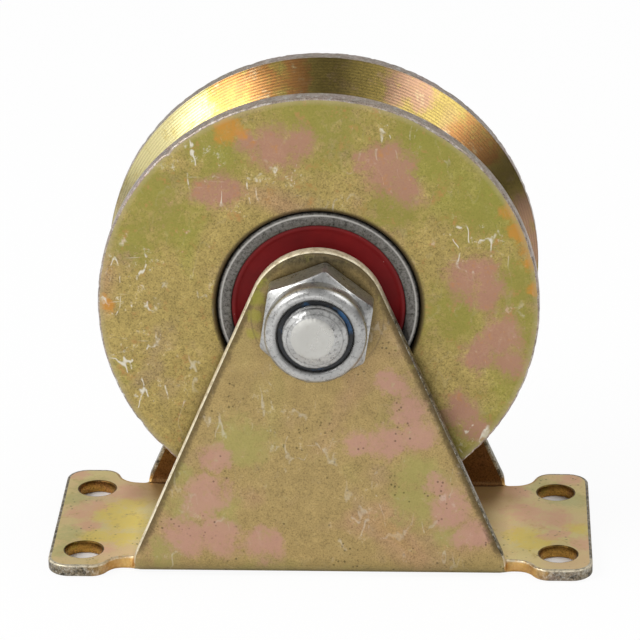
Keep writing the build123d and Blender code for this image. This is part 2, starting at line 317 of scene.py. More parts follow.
class Paint(Nodes):
    """Material of one finish, with the textures that make its colour, gloss and relief."""

    def __init__(self, name):
        self.material = bpy.data.materials.new(name)
        self.material.use_nodes = True
        super().__init__(self.material.node_tree)
        self.place = self.add("TexCoord", {}).outputs["Object"]

    def finish(self, colour, metallic, roughness, relief=None):
        """Gives the shader its colour, metal, gloss and relief, and returns the material."""
        shader = self.tree.nodes["Principled BSDF"]
        self.link(colour, shader.inputs["Base Color"])
        self.link(metallic, shader.inputs["Metallic"])
        self.link(roughness, shader.inputs["Roughness"])
        if relief:
            self.link(relief, shader.inputs["Normal"])
        return self.material

    def moved(self, offset, scale=(1, 1, 1)):
        """Place with its axes shifted and stretched."""
        return self.add("Mapping", {"Scale": scale, "Location": offset, "Vector": self.place}).outputs[0]

    def noise(self, scale, detail=4, roughness=0.55, place=None, distortion=0):
        return self.add("TexNoise", {
            "Vector": place or self.place, "Scale": scale, "Detail": detail,
            "Roughness": roughness, "Distortion": distortion,
        }).outputs["Fac"]

    def drift(self, low, high, scale, detail=4, roughness=0.55, span=(0.3, 0.7)):
        """Level or colour that drifts between two; a narrow span gives their patches sharp edges."""
        return self.ramp(self.noise(scale, detail, roughness), list(zip(span, (low, high))))

    def ripple(self, size, scale, roughness=0.7):
        """Fine noise that runs about zero, by half a size up and down."""
        return self.product(self.math("SUBTRACT", self.noise(scale, 5, roughness), 0.5), size)

    def cells(self, scale, place=None):
        return self.add("TexVoronoi", {"Vector": place or self.place, "Scale": scale}).outputs["Distance"]

    def fade(self, value, reach, stops):
        """Level that runs between stops of (metres, level), for values from 0 to a reach in metres."""
        return self.ramp(self.product(value, 1 / reach), [(at / reach, level) for at, level in stops])

    def times(self, colour, other):
        return self.blend(1, colour, other, "MULTIPLY")

    def bump(self, height, strength, distance, under=None):
        """Relief of a height; under is a relief that it is laid over."""
        inputs = {"Strength": strength, "Distance": distance, "Height": height}
        if under:
            inputs["Normal"] = under
        return self.add("Bump", inputs).outputs[0]

    def axis(self, letter):
        return self.add("SeparateXYZ", {0: self.place}).outputs[letter]

    def length(self, a, b):
        """Length of a slanted side from its two square sides."""
        return self.math("SQRT", self.math("ADD", self.product(a, a), self.product(b, b)))

    def from_axle(self):
        """Distance from the middle line of the axle."""
        return self.length(self.axis("X"), self.math("SUBTRACT", self.axis("Z"), axle_height))

    def wandered(self, reach, scale, detail=2, roughness=0.5):
        """Place pushed about by a noise, by up to a reach along each axis."""
        wander = self.add("TexNoise", {
            "Vector": self.place, "Scale": scale, "Detail": detail, "Roughness": roughness})
        inputs = {0: wander.outputs["Color"], 1: (reach, reach, reach), 2: self.place}
        return self.add("VectorMath", inputs, operation="MULTIPLY_ADD").outputs[0]

    def scratches(self, seed, turn, spacing, fineness):
        """Short fine scratches at one slant in the X-Z plane: 1 on a scratch and 0 elsewhere."""
        slanted = self.add("Mapping", {
            "Vector": self.wandered(0.0025, 60),
            "Rotation": (0, turn, 0),
            "Scale": (0.05 / spacing, 0.5 / spacing, 1 / spacing),
            "Location": (seed, seed * 0.7, seed * 0.3),
        }).outputs[0]
        return self.ramp(self.cells(1, slanted), [(0, 1), (fineness, 0)])

    def patches(self, spots, ragged, soft, lying=False):
        """Mask of soft ragged patches: (x, z, radius) in millimetres, or (x, y, radius) on a lying face."""
        flat = (1, 1, 0) if lying else (1, 0, 1)
        pushed = self.wandered(ragged, 110, 5, 0.72)
        level = self.add("VectorMath", {0: pushed, 1: flat}, operation="MULTIPLY").outputs[0]
        mask = 0
        for x, other, radius in spots:
            middle = Vector((x, other, 0) if lying else (x, 0, other)) / 1000
            inputs = {0: level, 1: middle + Vector(flat) * ragged / 2}
            fall = self.add("MapRange", {
                "Value": self.add("VectorMath", inputs, operation="DISTANCE").outputs["Value"],
                "From Min": radius / 1000 * (1 + soft),
                "From Max": radius / 1000 * (1 - soft),
            }, interpolation_type="SMOOTHSTEP")
            mask = self.math("MAXIMUM", fall.outputs[0], mask)
        frayed = self.math("ADD", self.ripple(1.5, 1300), self.ripple(2.4, 300))
        return self.ramp(self.math("ADD", mask, frayed), [(0.2, 0), (0.9, 1)])

    def stained(self, colour, tint, share, spots, ragged, soft, *where, lying=False):
        """Colour with soft patches of a tint, up to a share, where the masks are open."""
        return self.blend(self.product(self.patches(spots, ragged, soft, lying), share, *where), colour, tint)


def passivated(paint, tints, drift_scale, seed, grit=0.5):
    """Colour of yellow passivated zinc: soft patches that drift between five tints, finely speckled."""
    gold, olive, pink, mauve, orange = tints
    broad = paint.noise(drift_scale, 3, 0.5, paint.moved((seed, seed * 1.7, -seed)), 0.6)
    base = paint.ramp(broad, [(0.3, olive), (0.42, gold), (0.56, gold), (0.68, pink), (0.82, orange)])
    second = paint.noise(drift_scale * 2.1, 4, 0.55, paint.moved((-seed, 3.1, seed)), 0.3)
    base = paint.blend(paint.ramp(second, [(0.56, 0), (0.66, 0.7)]), base, mauve)
    fine = paint.ramp(paint.noise(3200, 4, 0.7), [(0.36, 1 - grit), (0.5, 1), (0.66, 1 + grit * 0.5)])
    hairs = paint.math("MAXIMUM", paint.scratches(seed, 0.45, 0.0009, 0.055),
                       paint.scratches(seed + 5, 2.3, 0.001, 0.05))
    hairs = paint.ramp(hairs, [(0, 1), (1, 1 - grit)])
    middle = paint.drift(1 - grit * 0.5, 1 + grit * 0.4, 420, 6, 0.7)
    return paint.times(paint.times(paint.times(base, fine), hairs), middle)


def scuffed(paint, colour, mask, seed):
    """Adds pale scratches, strokes and rubbed specks where the mask is open; returns colour and marks."""
    marks = paint.scratches(seed, 0.7, 0.0012, 0.075)
    for turn in (-0.5, 1.9, 2.6):
        marks = paint.math("MAXIMUM", marks, paint.scratches(seed + turn, turn, 0.0014, 0.065))
    rub = paint.drift(0, 0.8, 420, 7, 0.8, (0.58, 0.66))
    folds = paint.noise(240, 2, 0.5, paint.moved((seed, 0, seed), (1, 1, 0.4)))
    ridge = paint.math("ABSOLUTE", paint.math("SUBTRACT", folds, 0.5))
    broken = paint.noise(330, 3, 0.6, paint.moved((seed, 2, 0)))
    strokes = paint.product(paint.ramp(ridge, [(0.006, 1), (0.02, 0)]),
                            paint.ramp(broken, [(0.5, 0), (0.56, 1)]))
    marks = paint.product(paint.math("MAXIMUM", paint.math("MAXIMUM", marks, rub), strokes), mask)
    return paint.blend(marks, colour, (0.72, 0.7, 0.64)), marks


paint = Paint("passivated_wheel_face")
face_tints = ((0.43, 0.34, 0.125), (0.37, 0.37, 0.085), (0.46, 0.31, 0.17), (0.4, 0.3, 0.16),
              (0.5, 0.34, 0.12))
colour = passivated(paint, face_tints, 45, 4.3, 0.42)
from_axle = paint.from_axle()
green = [(0, 87, 9), (-18, 83, 8), (20, 83, 9), (32, 72, 9), (-30, 73, 6), (-33, 64, 5), (14, 70, 5),
         (36, 55, 6), (37, 40, 6), (31, 26, 7), (24, 50, 6), (-26, 68, 5), (38, 48, 5)]
pink = [(-7, 81.5, 4.2), (-3.5, 82.5, 3.2), (-12.5, 82.5, 2.4), (-16.5, 74, 3.2), (-20, 72.5, 2.6),
        (13, 78, 4.6), (16, 74, 3.4), (9, 79.5, 2.6), (27.5, 57, 4.6), (30, 54, 3.2), (33, 46, 4.2),
        (29, 42, 3.4), (35, 41, 3), (26, 31, 3.4), (28.5, 28, 3)]
orange = [(37.5, 66, 3), (38.5, 61, 2.4), (35.5, 70, 2.2), (-15.5, 85, 3), (-38, 51, 1.6), (39, 55, 1.5)]
worn = [(-22, 80, 5), (-33, 58, 5), (-35, 50, 4), (-34, 40, 6), (-31, 34, 5), (29, 63, 5), (25, 66, 3),
        (14, 85, 3.5), (-14, 74, 4), (29, 27, 3), (-6, 76, 3)]
colour = paint.stained(colour, (0.29, 0.285, 0.06), 0.8, green, 0.009, 0.9)
colour = paint.stained(colour, (0.45, 0.235, 0.2), 0.8, pink, 0.007, 0.7)
colour = paint.stained(colour, (0.58, 0.27, 0.05), 0.8, orange, 0.006, 0.6)
mask = paint.drift(0.05, 0.55, 70, 3, span=(0.56, 0.68))
mask = paint.math("MAXIMUM", paint.patches(worn, 0.01, 0.6), mask)
colour, marks = scuffed(paint, colour, mask, 3)
# Painted highlight: a paler band just inside the outer edge of each face.
rim_highlight = paint.fade(from_axle, wheel_radius, [(wheel_radius - 0.0014, 0), (wheel_radius - 0.0006, 0.5)])
colour = paint.blend(rim_highlight, colour, (0.46, 0.4, 0.24))
# Painted shade: the face darkens to near black at the mouth of the bearing seat, round the bearing.
seat_mouth_shade = paint.fade(from_axle, 0.02, [(0.0185, 1), (0.01904, 0.9), (0.0195, 0)])
colour = paint.blend(paint.product(seat_mouth_shade, 0.9), colour, (0.06, 0.04, 0.02))
colour = paint.times(colour, (0.97, 0.93, 0.84))
relief = paint.bump(marks, 0.25, 0.00005, paint.bump(paint.noise(1500, 5, 0.65), 0.3, 0.00008))
wheel_mesh.materials.append(paint.finish(colour, 0.72, paint.drift(0.42, 0.58, 220, 5, 0.6), relief))

paint = Paint("passivated_wheel_groove")
groove_tints = ((0.47, 0.38, 0.11), (0.43, 0.39, 0.085), (0.49, 0.34, 0.18), (0.46, 0.35, 0.16),
                (0.53, 0.34, 0.1))
colour = passivated(paint, groove_tints, 42, 9.1, 0.3)
orange = [(-17, 86, 3.4), (-11, 87.5, 3.6), (-5, 88, 3), (27, 77, 3.4), (29.5, 74, 3)]
pink = [(14, 86.5, 3.2), (18, 85, 3), (38, 61, 4), (38, 55, 4), (-36, 62, 4)]
upper_left_pale_patches = [(-37, 64, 6), (-34.5, 70, 6), (-30, 76, 6), (-25, 81, 4.5), (-38.5, 56, 5)]
colour = paint.stained(colour, (0.48, 0.21, 0.075), 0.75, orange, 0.006, 0.6)
colour = paint.stained(colour, (0.46, 0.27, 0.2), 0.75, pink, 0.006, 0.6)
colour = paint.times(colour, (0.82, 0.76, 0.78))
# Pale yellow patches over the upper left of the groove, laid on after the darkening above.
colour = paint.stained(colour, (0.55, 0.5, 0.26), 0.8, upper_left_pale_patches, 0.004, 0.8)
turning = paint.math("SINE", paint.product(paint.axis("Y"), 2 * math.pi / turning_pitch))
lines = paint.product(turning, paint.math("ADD", paint.noise(60, 4, 0.6), 0.2))
shade = paint.ramp(paint.math("ADD", paint.product(lines, 0.5), 0.5), [(0.1, 0.78), (0.6, 1)])
colour = paint.times(colour, shade)
wheel_mesh.materials.append(paint.finish(colour, 0.92, 0.24, paint.bump(lines, 0.22, 0.00003)))

paint = Paint("worn_rim_steel")
rim_tints = ((0.39, 0.32, 0.26), (0.36, 0.32, 0.24), (0.42, 0.32, 0.29), (0.39, 0.31, 0.28),
             (0.44, 0.34, 0.26))
colour = passivated(paint, rim_tints, 60, 2.2)
bare = paint.drift(0, 0.9, 900, 6, 0.75, (0.52, 0.66))
colour = paint.blend(bare, colour, (0.62, 0.6, 0.56))
relief = paint.bump(paint.noise(1800, 5, 0.7), 0.35, 0.0001)
wheel_mesh.materials.append(paint.finish(colour, 0.85, paint.drift(0.34, 0.52, 500), relief))

groove_slot = 1
rim_slot = 2
for face in wheel_mesh.polygons:
    out = math.hypot(face.center.x, face.center.z - axle_height)
    if out > wheel_radius - rim_round * 2:
        face.material_index = rim_slot
    elif abs(face.center.y) < groove_edge and out > root_radius - 0.0005:
        face.material_index = groove_slot

# Bearings: 12 x 37 x 12 ball bearings pressed in from both sides. Ground steel rings, red rubber
# seals on steel discs, polished balls in riveted ribbon cages.
ring_corner = 0.0008
ring_bore = 0.0149
ring_half = 0.006
seal_radius = 0.01575
seal_lip = 0.00985
seal_step = 0.00115
seal_groove_round = 0.0002
bearing_middle = 0.0067

paint = Paint("bearing_steel")
colour = paint.ramp(paint.noise(1500, 6, 0.75), [
    (0.36, (0.045, 0.04, 0.035)), (0.5, (0.165, 0.155, 0.14)), (0.72, (0.26, 0.25, 0.235))])
colour = paint.times(colour, paint.drift(0.8, 1.1, 90, 3))
from_axle = paint.from_axle()
# Painted highlight: a thin bright line on the ring face where its outer chamfer begins.
chamfer_highlight = paint.fade(from_axle, 0.02, [(0.01748, 0), (0.01764, 0.6), (0.01776, 0.6), (0.01792, 0)])
colour = paint.blend(chamfer_highlight, colour, (0.6, 0.58, 0.54))
# Painted shade: the ring face darkens at its inner edge by the seal and at its outer edge in the gap to the
# wheel.
ring_edge_shade = paint.fade(from_axle, 0.02, [(0.01572, 0.15), (0.016, 1), (0.01796, 1), (0.01824, 0.3)])
colour = paint.times(colour, ring_edge_shade)
relief = paint.bump(paint.noise(1600, 5, 0.7), 0.3, 0.00008)
ring_paint = paint.finish(colour, 0.9, paint.drift(0.34, 0.52, 600), relief)

paint = Paint("red_rubber")
colour = paint.drift((0.12, 0.003, 0.004), (0.2, 0.006, 0.007), 120, 4, 0.6)
dust = paint.product(paint.ramp(paint.cells(420), [(0.035, 1), (0.07, 0)]),
                     paint.drift(0, 0.9, 200, 2, span=(0.5, 0.6)))
colour = paint.blend(dust, colour, (0.62, 0.5, 0.46))
seal_paint = paint.finish(colour, 0, 0.55, paint.bump(paint.noise(900, 4), 0.15, 0.00006))
seal_paint.node_tree.nodes["Principled BSDF"].inputs["Specular IOR Level"].default_value = 0.25

groove_centre = (seal_radius + seal_groove_round, ring_half - seal_groove_round)
ring_profile_half = (
    [(ring_bore, 0), (ring_bore, ring_half - seal_step), (seal_radius, ring_half - seal_step)]
    + [(seal_radius, ring_half - seal_groove_round)]
    + arc_points(groove_centre, seal_groove_round, 180, 90, 2)
    + [(seat_radius - ring_corner - 0.0003, ring_half)]
    + arc_points((seat_radius - ring_corner, ring_half - ring_corner), ring_corner, 80, 0, 5)
)
seal_profile = [
    (seal_lip, 0), (seal_radius, 0), (seal_radius, 0.0008), (0.0156, 0.0009), (0.0151, 0.0009),
    (0.0148, 0.00075), (0.0145, 0.00062), (0.0125, 0.00058), (0.0112, 0.0006),
    (0.0108, 0.0007), (0.0105, 0.0008), (0.0101, 0.0008), (seal_lip, 0.0006),
]
for side, sign in (("front", -1), ("rear", 1)):
    middle = sign * bearing_middle
    seat = middle + sign * (ring_half - seal_step)
    ring_profile = [(r, y + middle) for r, y in mirrored(ring_profile_half)]
    seal_section = [(r, seat + sign * y) for r, y in seal_profile]
    mesh = turned_mesh(side + "_ring_detail", lambda angle: ring_profile, 240, 38, closed=True)
    mesh.materials.append(ring_paint)
    ring = new_piece(mesh, "wheel_assembly", side + "_outer_ring")
    mesh = turned_mesh(side + "_seal_detail", lambda angle: seal_section, 240, 38, closed=True)
    mesh.materials.append(seal_paint)
    seal = new_piece(mesh, "wheel_assembly", side + "_outboard_seal")


def repaint(node, material):
    """Gives a CAD node a finished material in every slot."""
    for material_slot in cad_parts[node].material_slots:
        material_slot.material = material


paint = Paint("polished_balls")
colour = paint.drift((0.62, 0.62, 0.63), (0.74, 0.74, 0.75), 200, 3)
ball_paint = paint.finish(colour, 1, paint.drift(0.06, 0.14, 500, 3))

paint = Paint("pressed_cage_steel")
colour = paint.drift((0.42, 0.41, 0.38), (0.56, 0.55, 0.52), 300)
cage_paint = paint.finish(colour, 0.9, 0.5, paint.bump(paint.noise(1200), 0.2, 0.00005))
for side in ("front", "rear"):
    repaint(side + "_inner_ring", ring_paint)
    repaint(side + "_balls", ball_paint)
    repaint(side + "_cage", cage_paint)
    repaint(side + "_inboard_seal", seal_paint)

# Spacers: plain steel bushes turned and bored to slide on the bolt. One stands between the two inner
# rings and one on each side of them, so the nut clamps the inner rings between the cheeks.
paint = Paint("turned_bush_steel")
rings = paint.noise(1, 3, 0.5, paint.moved((0, 0, 0), (200, 6000, 200)))
colour = paint.ramp(rings, [(0.3, (0.42, 0.42, 0.4)), (0.7, (0.55, 0.55, 0.53))])
bush_paint = paint.finish(colour, 0.95, 0.35, paint.bump(rings, 0.2, 0.00004))
for node in ("bearing_spacer", "front_spacer", "rear_spacer"):
    repaint(node, bush_paint)

# Bracket: punched from 2.5 mm sheet and folded up on both sides, then zinc plated and passivated.
# The flat blank is laid out in x and in distance along the sheet, and wrapped round the folds.
sheet = 0.0025
foot_half = 0.0194
cheek_face = 0.0172
fold_outer = 0.0033
knee_height = 0.034
knee_round = 0.060
cheek_top_round = 0.0125
foot_x = 0.0343
foot_corner_height = 0.00346
foot_corner_round = 0.0055
neck_along = 0.01675
neck_round = 0.0011
neck_end = 0.0374
ear_x = 0.0503
ear_front_y = 0.0205
ear_rear_y = 0.0222
ear_front_start = 0.0430
ear_rear_start = 0.0446
ear_round = 0.004
ear_bend = 0.0034
unfold_gap = 0.0002
unfold_run = 0.0046
hole_radius = 0.0035
axle_hole = 0.00635
roll_width = 0.0013
roll_depth = 0.0006
hole_mouth = 0.00045
burr = 0.00028
grid_rise = 0.003
grid_step = 0.0019
grid_gap = 0.0017
cheek_rise = axle_height - foot_corner_height
side_slant = math.atan2(foot_x, cheek_rise) - math.asin(cheek_top_round / math.hypot(foot_x, cheek_rise))
lean = math.atan2(foot_half - cheek_face, knee_height)
fold_turn = math.pi / 2 + lean
fold_tangent = fold_outer * math.tan(fold_turn / 2)
knee_tangent = knee_round * math.tan(lean / 2)
upright_height = knee_height + knee_tangent
lean_run = math.hypot(foot_half - cheek_face, knee_height) - fold_tangent - knee_tangent
flat_run = foot_half - fold_tangent
fold_run = fold_turn * (fold_outer - sheet / 2)
knee_run = lean * (knee_round + sheet / 2)
start_lean = flat_run + fold_run
start_knee = start_lean + lean_run
start_top = start_knee + knee_run
axle_along = start_top + axle_height - upright_height


def wrapped(x, along, depth):
    """Place of a blank point: along is the distance from the middle, depth is up from the outer skin."""
    sign = 1 if along >= 0 else -1
    v = abs(along)
    if v <= flat_run:
        return Vector((x, along, depth))
    if v <= start_lean:
        a = (v - flat_run) / fold_run * fold_turn
        reach = fold_outer - depth
        return Vector((x, sign * (flat_run + reach * math.sin(a)), fold_outer - reach * math.cos(a)))
    if v <= start_knee:
        heading = Vector((-math.sin(lean), math.cos(lean)))
        inward_turn = Vector((-math.cos(lean), -math.sin(lean)))
        corner = Vector((foot_half, 0)) + heading * fold_tangent
        spot = corner + heading * (v - start_lean) + inward_turn * depth
        return Vector((x, sign * spot.x, spot.y))
    if v <= start_top:
        a = lean - (v - start_knee) / knee_run * lean
        reach = knee_round + depth
        out = cheek_face + knee_round - reach * math.cos(a)
        return Vector((x, sign * out, upright_height - reach * math.sin(a)))
    return Vector((x, sign * (cheek_face - depth), upright_height + v - start_top))


def sheet_point(x, v, depth):
    """Blank point wrapped round the folds; the necks and ears beyond the cheeks stay flat."""
    folded = wrapped(x, v, depth)
    share = min(1, max(0, (abs(x) - foot_x - unfold_gap) / unfold_run))
    if share <= 0 or abs(v) <= flat_run:
        return folded
    share = share * share * (3 - 2 * share)
    return folded.lerp(Vector((x, v, depth)), share)


def smooth_path(points, step):
    """Points along straight runs with round corners; each point is (x, y, radius)."""
    out = []
    for index, (x, y, radius) in enumerate(points):
        before = Vector(points[index - 1][:2])
        here = Vector((x, y))
        after = Vector(points[(index + 1) % len(points)][:2])
        a = (before - here).normalized()
        b = (after - here).normalized()
        half = a.angle(b) / 2
        run = radius / math.tan(half)
        start = here + a * run
        end = here + b * run
        centre = here + (a + b).normalized() * (radius / math.sin(half))
        first = math.atan2(start.y - centre.y, start.x - centre.x)
        last = math.atan2(end.y - centre.y, end.x - centre.x)
        sweep = (last - first + math.pi) % (2 * math.pi) - math.pi
        steps = max(3, math.ceil(abs(sweep) * radius / step))
        for k in range(steps + 1):
            t = first + sweep * k / steps
            out.append(centre + Vector((math.cos(t), math.sin(t))) * radius)
    return out


def evened(points, step):
    """Closed path with points a step apart at most."""
    out = []
    for here, there in zip(points, points[1:] + points[:1]):
        run = (there - here).length
        if run < 1e-7:
            continue
        cuts = max(1, math.ceil(run / step))
        out += [here.lerp(there, cut / cuts) for cut in range(cuts)]
    return out


def half_outline(ear_y, ear_start):
    """Blank corners (x, v, radius) from the right-hand ear over one cheek to the left-hand ear."""
    lean_foot = start_lean + (foot_corner_height - fold_tangent * math.cos(lean)) / math.cos(lean)
    rise = axle_along - lean_foot
    slant = math.atan2(foot_x, rise) - math.asin(cheek_top_round / math.hypot(foot_x, rise))
    apex_half = cheek_top_round * math.tan((math.pi / 2 - slant) / 2)
    bend_x = (ear_start + neck_end) / 2
    right_side = [
        (ear_x, ear_y, ear_round),
        (bend_x, ear_y, ear_bend),
        (bend_x - 0.002, neck_along, ear_bend),
        (foot_x, neck_along, neck_round),
        (foot_x, lean_foot, foot_corner_round),
        (apex_half, axle_along + cheek_top_round, cheek_top_round * 0.999),
    ]
    return right_side + [(-x, v, r) for x, v, r in reversed(right_side)]


def circle(x, v, radius, steps):
    """Round hole in the blank."""
    turns = [2 * math.pi * step / steps for step in range(steps)]
    return [Vector((x + radius * math.cos(t), v + radius * math.sin(t))) for t in turns]


def inward(loop, outer):
    """Unit normals of a closed loop that point into the metal."""
    area = sum(a.x * b.y - b.x * a.y for a, b in zip(loop, loop[1:] + loop[:1]))
    flip = (1 if area > 0 else -1) * (1 if outer else -1)
    normals = []
    for index in range(len(loop)):
        run = (loop[(index + 1) % len(loop)] - loop[index - 1]).normalized()
        normals.append(Vector((-run.y, run.x)) * flip)
    return normals


def edge_steps(width, depth):
    """Inset and depth of the rings round an edge: rolled over below and a small burr above."""
    roll_turns = (0, 0.3, 0.6, 0.9, 1.2, math.pi / 2)
    burr_turns = (0, 0.5, 1, math.pi / 2)
    roll = [(width * (1 - math.sin(a)), depth * (1 - math.cos(a))) for a in roll_turns]
    return roll + [(burr * (1 - math.cos(a)), sheet - burr * (1 - math.sin(a))) for a in burr_turns]


rear_half = half_outline(ear_rear_y, ear_rear_start)
front_half = [(-x, -v, r) for x, v, r in half_outline(ear_front_y, ear_front_start)]
outline = evened(smooth_path(rear_half + front_half, 0.0005), 0.0009)
base_holes = [circle(x, y, hole_radius, 64) for x in (-hole_x, hole_x) for y in (-hole_y, hole_y)]
axle_holes = [circle(0, side * axle_along, axle_hole, 64) for side in (-1, 1)]
loops = [outline] + base_holes + axle_holes

edge_slot = 1
inner_slot = 2
hole_slot = 3
sheared_from = 3
verts = []
faces = []
face_slots = {}
skin_rings = []
inset_loops = []
for loop in loops:
    is_outline = loop is outline
    normals = inward(loop, is_outline)
    first = len(verts)
    count = len(loop)
    width = roll_width if is_outline else hole_mouth
    ring_steps = edge_steps(width, roll_depth if is_outline else hole_mouth)
    if is_outline:
        ring_steps.append((burr * 2, sheet))
    for inset, depth in ring_steps:
        for spot, normal in zip(loop, normals):
            at = spot + normal * inset
            verts.append(sheet_point(at.x, at.y, depth))
    for ring in range(len(ring_steps) - 1):
        for index in range(count):
            after = (index + 1) % count
            low = first + ring * count
            high = low + count
            if not is_outline:
                face_slots[len(faces)] = hole_slot
            elif ring >= sheared_from:
                face_slots[len(faces)] = edge_slot
            faces.append((low + index, low + after, high + after, high + index))
    skin_rings += [(first + index, first + (len(ring_steps) - 1) * count + index) for index in range(count)]
    inset_loops.append([spot + normal * width * 0.6 for spot, normal in zip(loop, normals)])


def clear_of_edges(x, v):
    """True where a grid point is well away from every edge."""
    return not any(max(abs(spot.x - x), abs(spot.y - v)) < grid_gap for loop in loops for spot in loop)


def in_metal(x, v):
    """True inside the outline and outside every hole, short of their rolled edges."""
    inside = False
    for loop in inset_loops:
        for a, b in zip(loop, loop[1:] + loop[:1]):
            if (a.y > v) != (b.y > v) and x < (b.x - a.x) * (v - a.y) / (b.y - a.y) + a.x:
                inside = not inside
    return inside


flat_points = []
flat_edges = []
for loop in inset_loops:
    start = len(flat_points)
    flat_points += loop
    flat_edges += [(start + index, start + (index + 1) % len(loop)) for index in range(len(loop))]
loop_total = len(flat_points)

rows = [row * grid_rise for row in range(-5, 6)]
cheek_rows = math.ceil((axle_along + 0.012 - start_lean) / grid_rise)
for side in (-1, 1):
    rows += [side * (flat_run + fold_run * step / 12) for step in range(13)]
    rows += [side * (start_lean + grid_rise * step) for step in range(1, cheek_rows)]
for v in rows:
    for x in [step * grid_step for step in range(-26, 27)]:
        if in_metal(x, v) and clear_of_edges(x, v):
            flat_points.append(Vector((x, v)))

net = delaunay_2d_cdt(flat_points, flat_edges, [], 0, 1e-7)
net_points, net_faces, net_sources = net[0], net[2], net[3]
skin_pairs = []
for spot, sources in zip(net_points, net_sources):
    if sources and sources[0] < loop_total:
        skin_pairs.append(skin_rings[sources[0]])
    else:
        skin_pairs.append((len(verts), len(verts) + 1))
        verts += [sheet_point(spot.x, spot.y, 0), sheet_point(spot.x, spot.y, sheet)]
for tri in net_faces:
    x = sum(net_points[index].x for index in tri) / 3
    v = sum(net_points[index].y for index in tri) / 3
    if in_metal(x, v):
        if abs(v) > flat_run and abs(x) < foot_x + 0.0012:
            face_slots[len(faces) + 1] = inner_slot
        faces.append([skin_pairs[index][0] for index in tri])
        faces.append([skin_pairs[index][1] for index in reversed(tri)])

bracket_mesh = smooth_mesh("bracket_sheet", verts, faces, 50)
for index, slot in face_slots.items():
    bracket_mesh.polygons[index].material_index = slot
bracket = new_piece(bracket_mesh, "bracket_assembly", "bracket")

paint = Paint("passivated_sheet")
sheet_tints = ((0.43, 0.325, 0.14), (0.41, 0.35, 0.13), (0.46, 0.31, 0.17), (0.43, 0.31, 0.17),
               (0.48, 0.33, 0.13))
colour = passivated(paint, sheet_tints, 40, 6.6, 0.32)
x_axis, y_axis, z_axis = (paint.axis(letter) for letter in "XYZ")
aside = paint.math("ABSOLUTE", x_axis)
on_fold = paint.product(paint.math("LESS_THAN", aside, foot_x + unfold_gap),
                        paint.math("GREATER_THAN", paint.math("ABSOLUTE", y_axis), 0.016))
on_ear = paint.product(paint.math("LESS_THAN", z_axis, 0.003), paint.math("SUBTRACT", 1, on_fold))
upright = paint.math("SUBTRACT", 1, on_ear)
# Painted light: the ears, which face up, are painted much paler than the uprights, as if lit from above.
ear_lit_share = paint.drift(0, 1, 70, 3, span=(0.4, 0.6))
pale = paint.blend(ear_lit_share, (0.76, 0.57, 0.34), (0.74, 0.64, 0.32))
colour = paint.blend(paint.product(on_ear, 0.8), colour, pale)
yellow = [(-40, 3, 4), (-37, -1, 4), (-37, 7, 3), (-41, -8, 3.4), (47, -3, 2.6), (37.5, -6, 3.4),
          (40, -9, 3.4), (-37, -8, 3)]
olive = [(-45, 15, 3.4), (-47.5, 9, 3), (-47.5, -7, 3.4), (41, 17, 3.4), (47, 9, 3), (-48, -14, 3),
         (44, 11, 3)]
blush = [(-46, 2, 3), (-44.5, 5, 2.6), (-44, -3, 2.4), (-49, 20, 2), (-41, -13, 2.4), (-38, 12, 3),
         (38, 4, 4), (43, 1, 4), (46, 20, 3), (43, -6, 2.4), (49, -9, 2.4), (36, 14, 3)]
colour = paint.stained(colour, (0.72, 0.58, 0.14), 0.8, yellow, 0.008, 0.7, on_ear, lying=True)
colour = paint.stained(colour, (0.46, 0.46, 0.2), 0.6, olive, 0.008, 0.7, on_ear, lying=True)
colour = paint.stained(colour, (0.7, 0.41, 0.3), 0.75, blush, 0.008, 0.7, on_ear, lying=True)
# Painted reflection: brown from the inside of each cheek, on the ear beside its rear part.
neck_reflection = paint.product(paint.ramp(aside, [(0.0345, 1), (0.0385, 0)]),
                        paint.fade(y_axis, 0.05, [(0.004, 0), (0.011, 1)]))
colour = paint.blend(paint.product(neck_reflection, on_ear, 0.6), colour, (0.34, 0.18, 0.06))
green = [(-14, 26, 5), (-24, 13, 3.4), (-17, 12, 3.4), (-11, 58, 2.6), (-29, 5, 3), (17, 15, 4), (19, 20, 4),
         (-26, 20, 2.6), (24, 9, 3)]
pink = [(13.5, 38, 2.6), (16.5, 33, 3.2), (18, 28, 3.4), (12, 27, 3.6), (7, 26.5, 2.6), (-21, 15, 4.5),
        (-25, 8, 4), (-18, 8, 4), (-10, 6.5, 3.4), (24, 14, 3.4), (27.5, 9, 3.2), (21, 18, 2.4), (-19, 23, 3)]
colour = paint.stained(colour, (0.38, 0.37, 0.12), 0.65, green, 0.008, 0.7, upright)
colour = paint.stained(colour, (0.54, 0.31, 0.26), 0.8, pink, 0.008, 0.6, upright)
# Painted shade: the uprights darken towards the foot of the fold.
low = paint.fade(z_axis, 0.01, [(0.0002, 1), (0.004, 0)])
colour = paint.blend(paint.product(low, upright, 0.6), colour, (0.27, 0.24, 0.09))
specks = paint.ramp(paint.cells(900), [(0.12, 0.45), (0.24, 1)])
speckless = paint.drift(1, 0, 150, 4, 0.6, (0.52, 0.58))
colour = paint.times(colour, paint.blend(speckless, specks, (1, 1, 1)))
above = paint.math("SUBTRACT", z_axis, axle_height)
across = paint.math("MAXIMUM", 0, paint.math(
    "ADD", paint.product(aside, math.cos(side_slant)), paint.product(above, math.sin(side_slant))))
beyond = paint.math("MINIMUM", 0, paint.math(
    "SUBTRACT", paint.product(aside, math.sin(side_slant)), paint.product(above, math.cos(side_slant))))
inset = paint.math("SUBTRACT", cheek_top_round, paint.length(across, beyond))
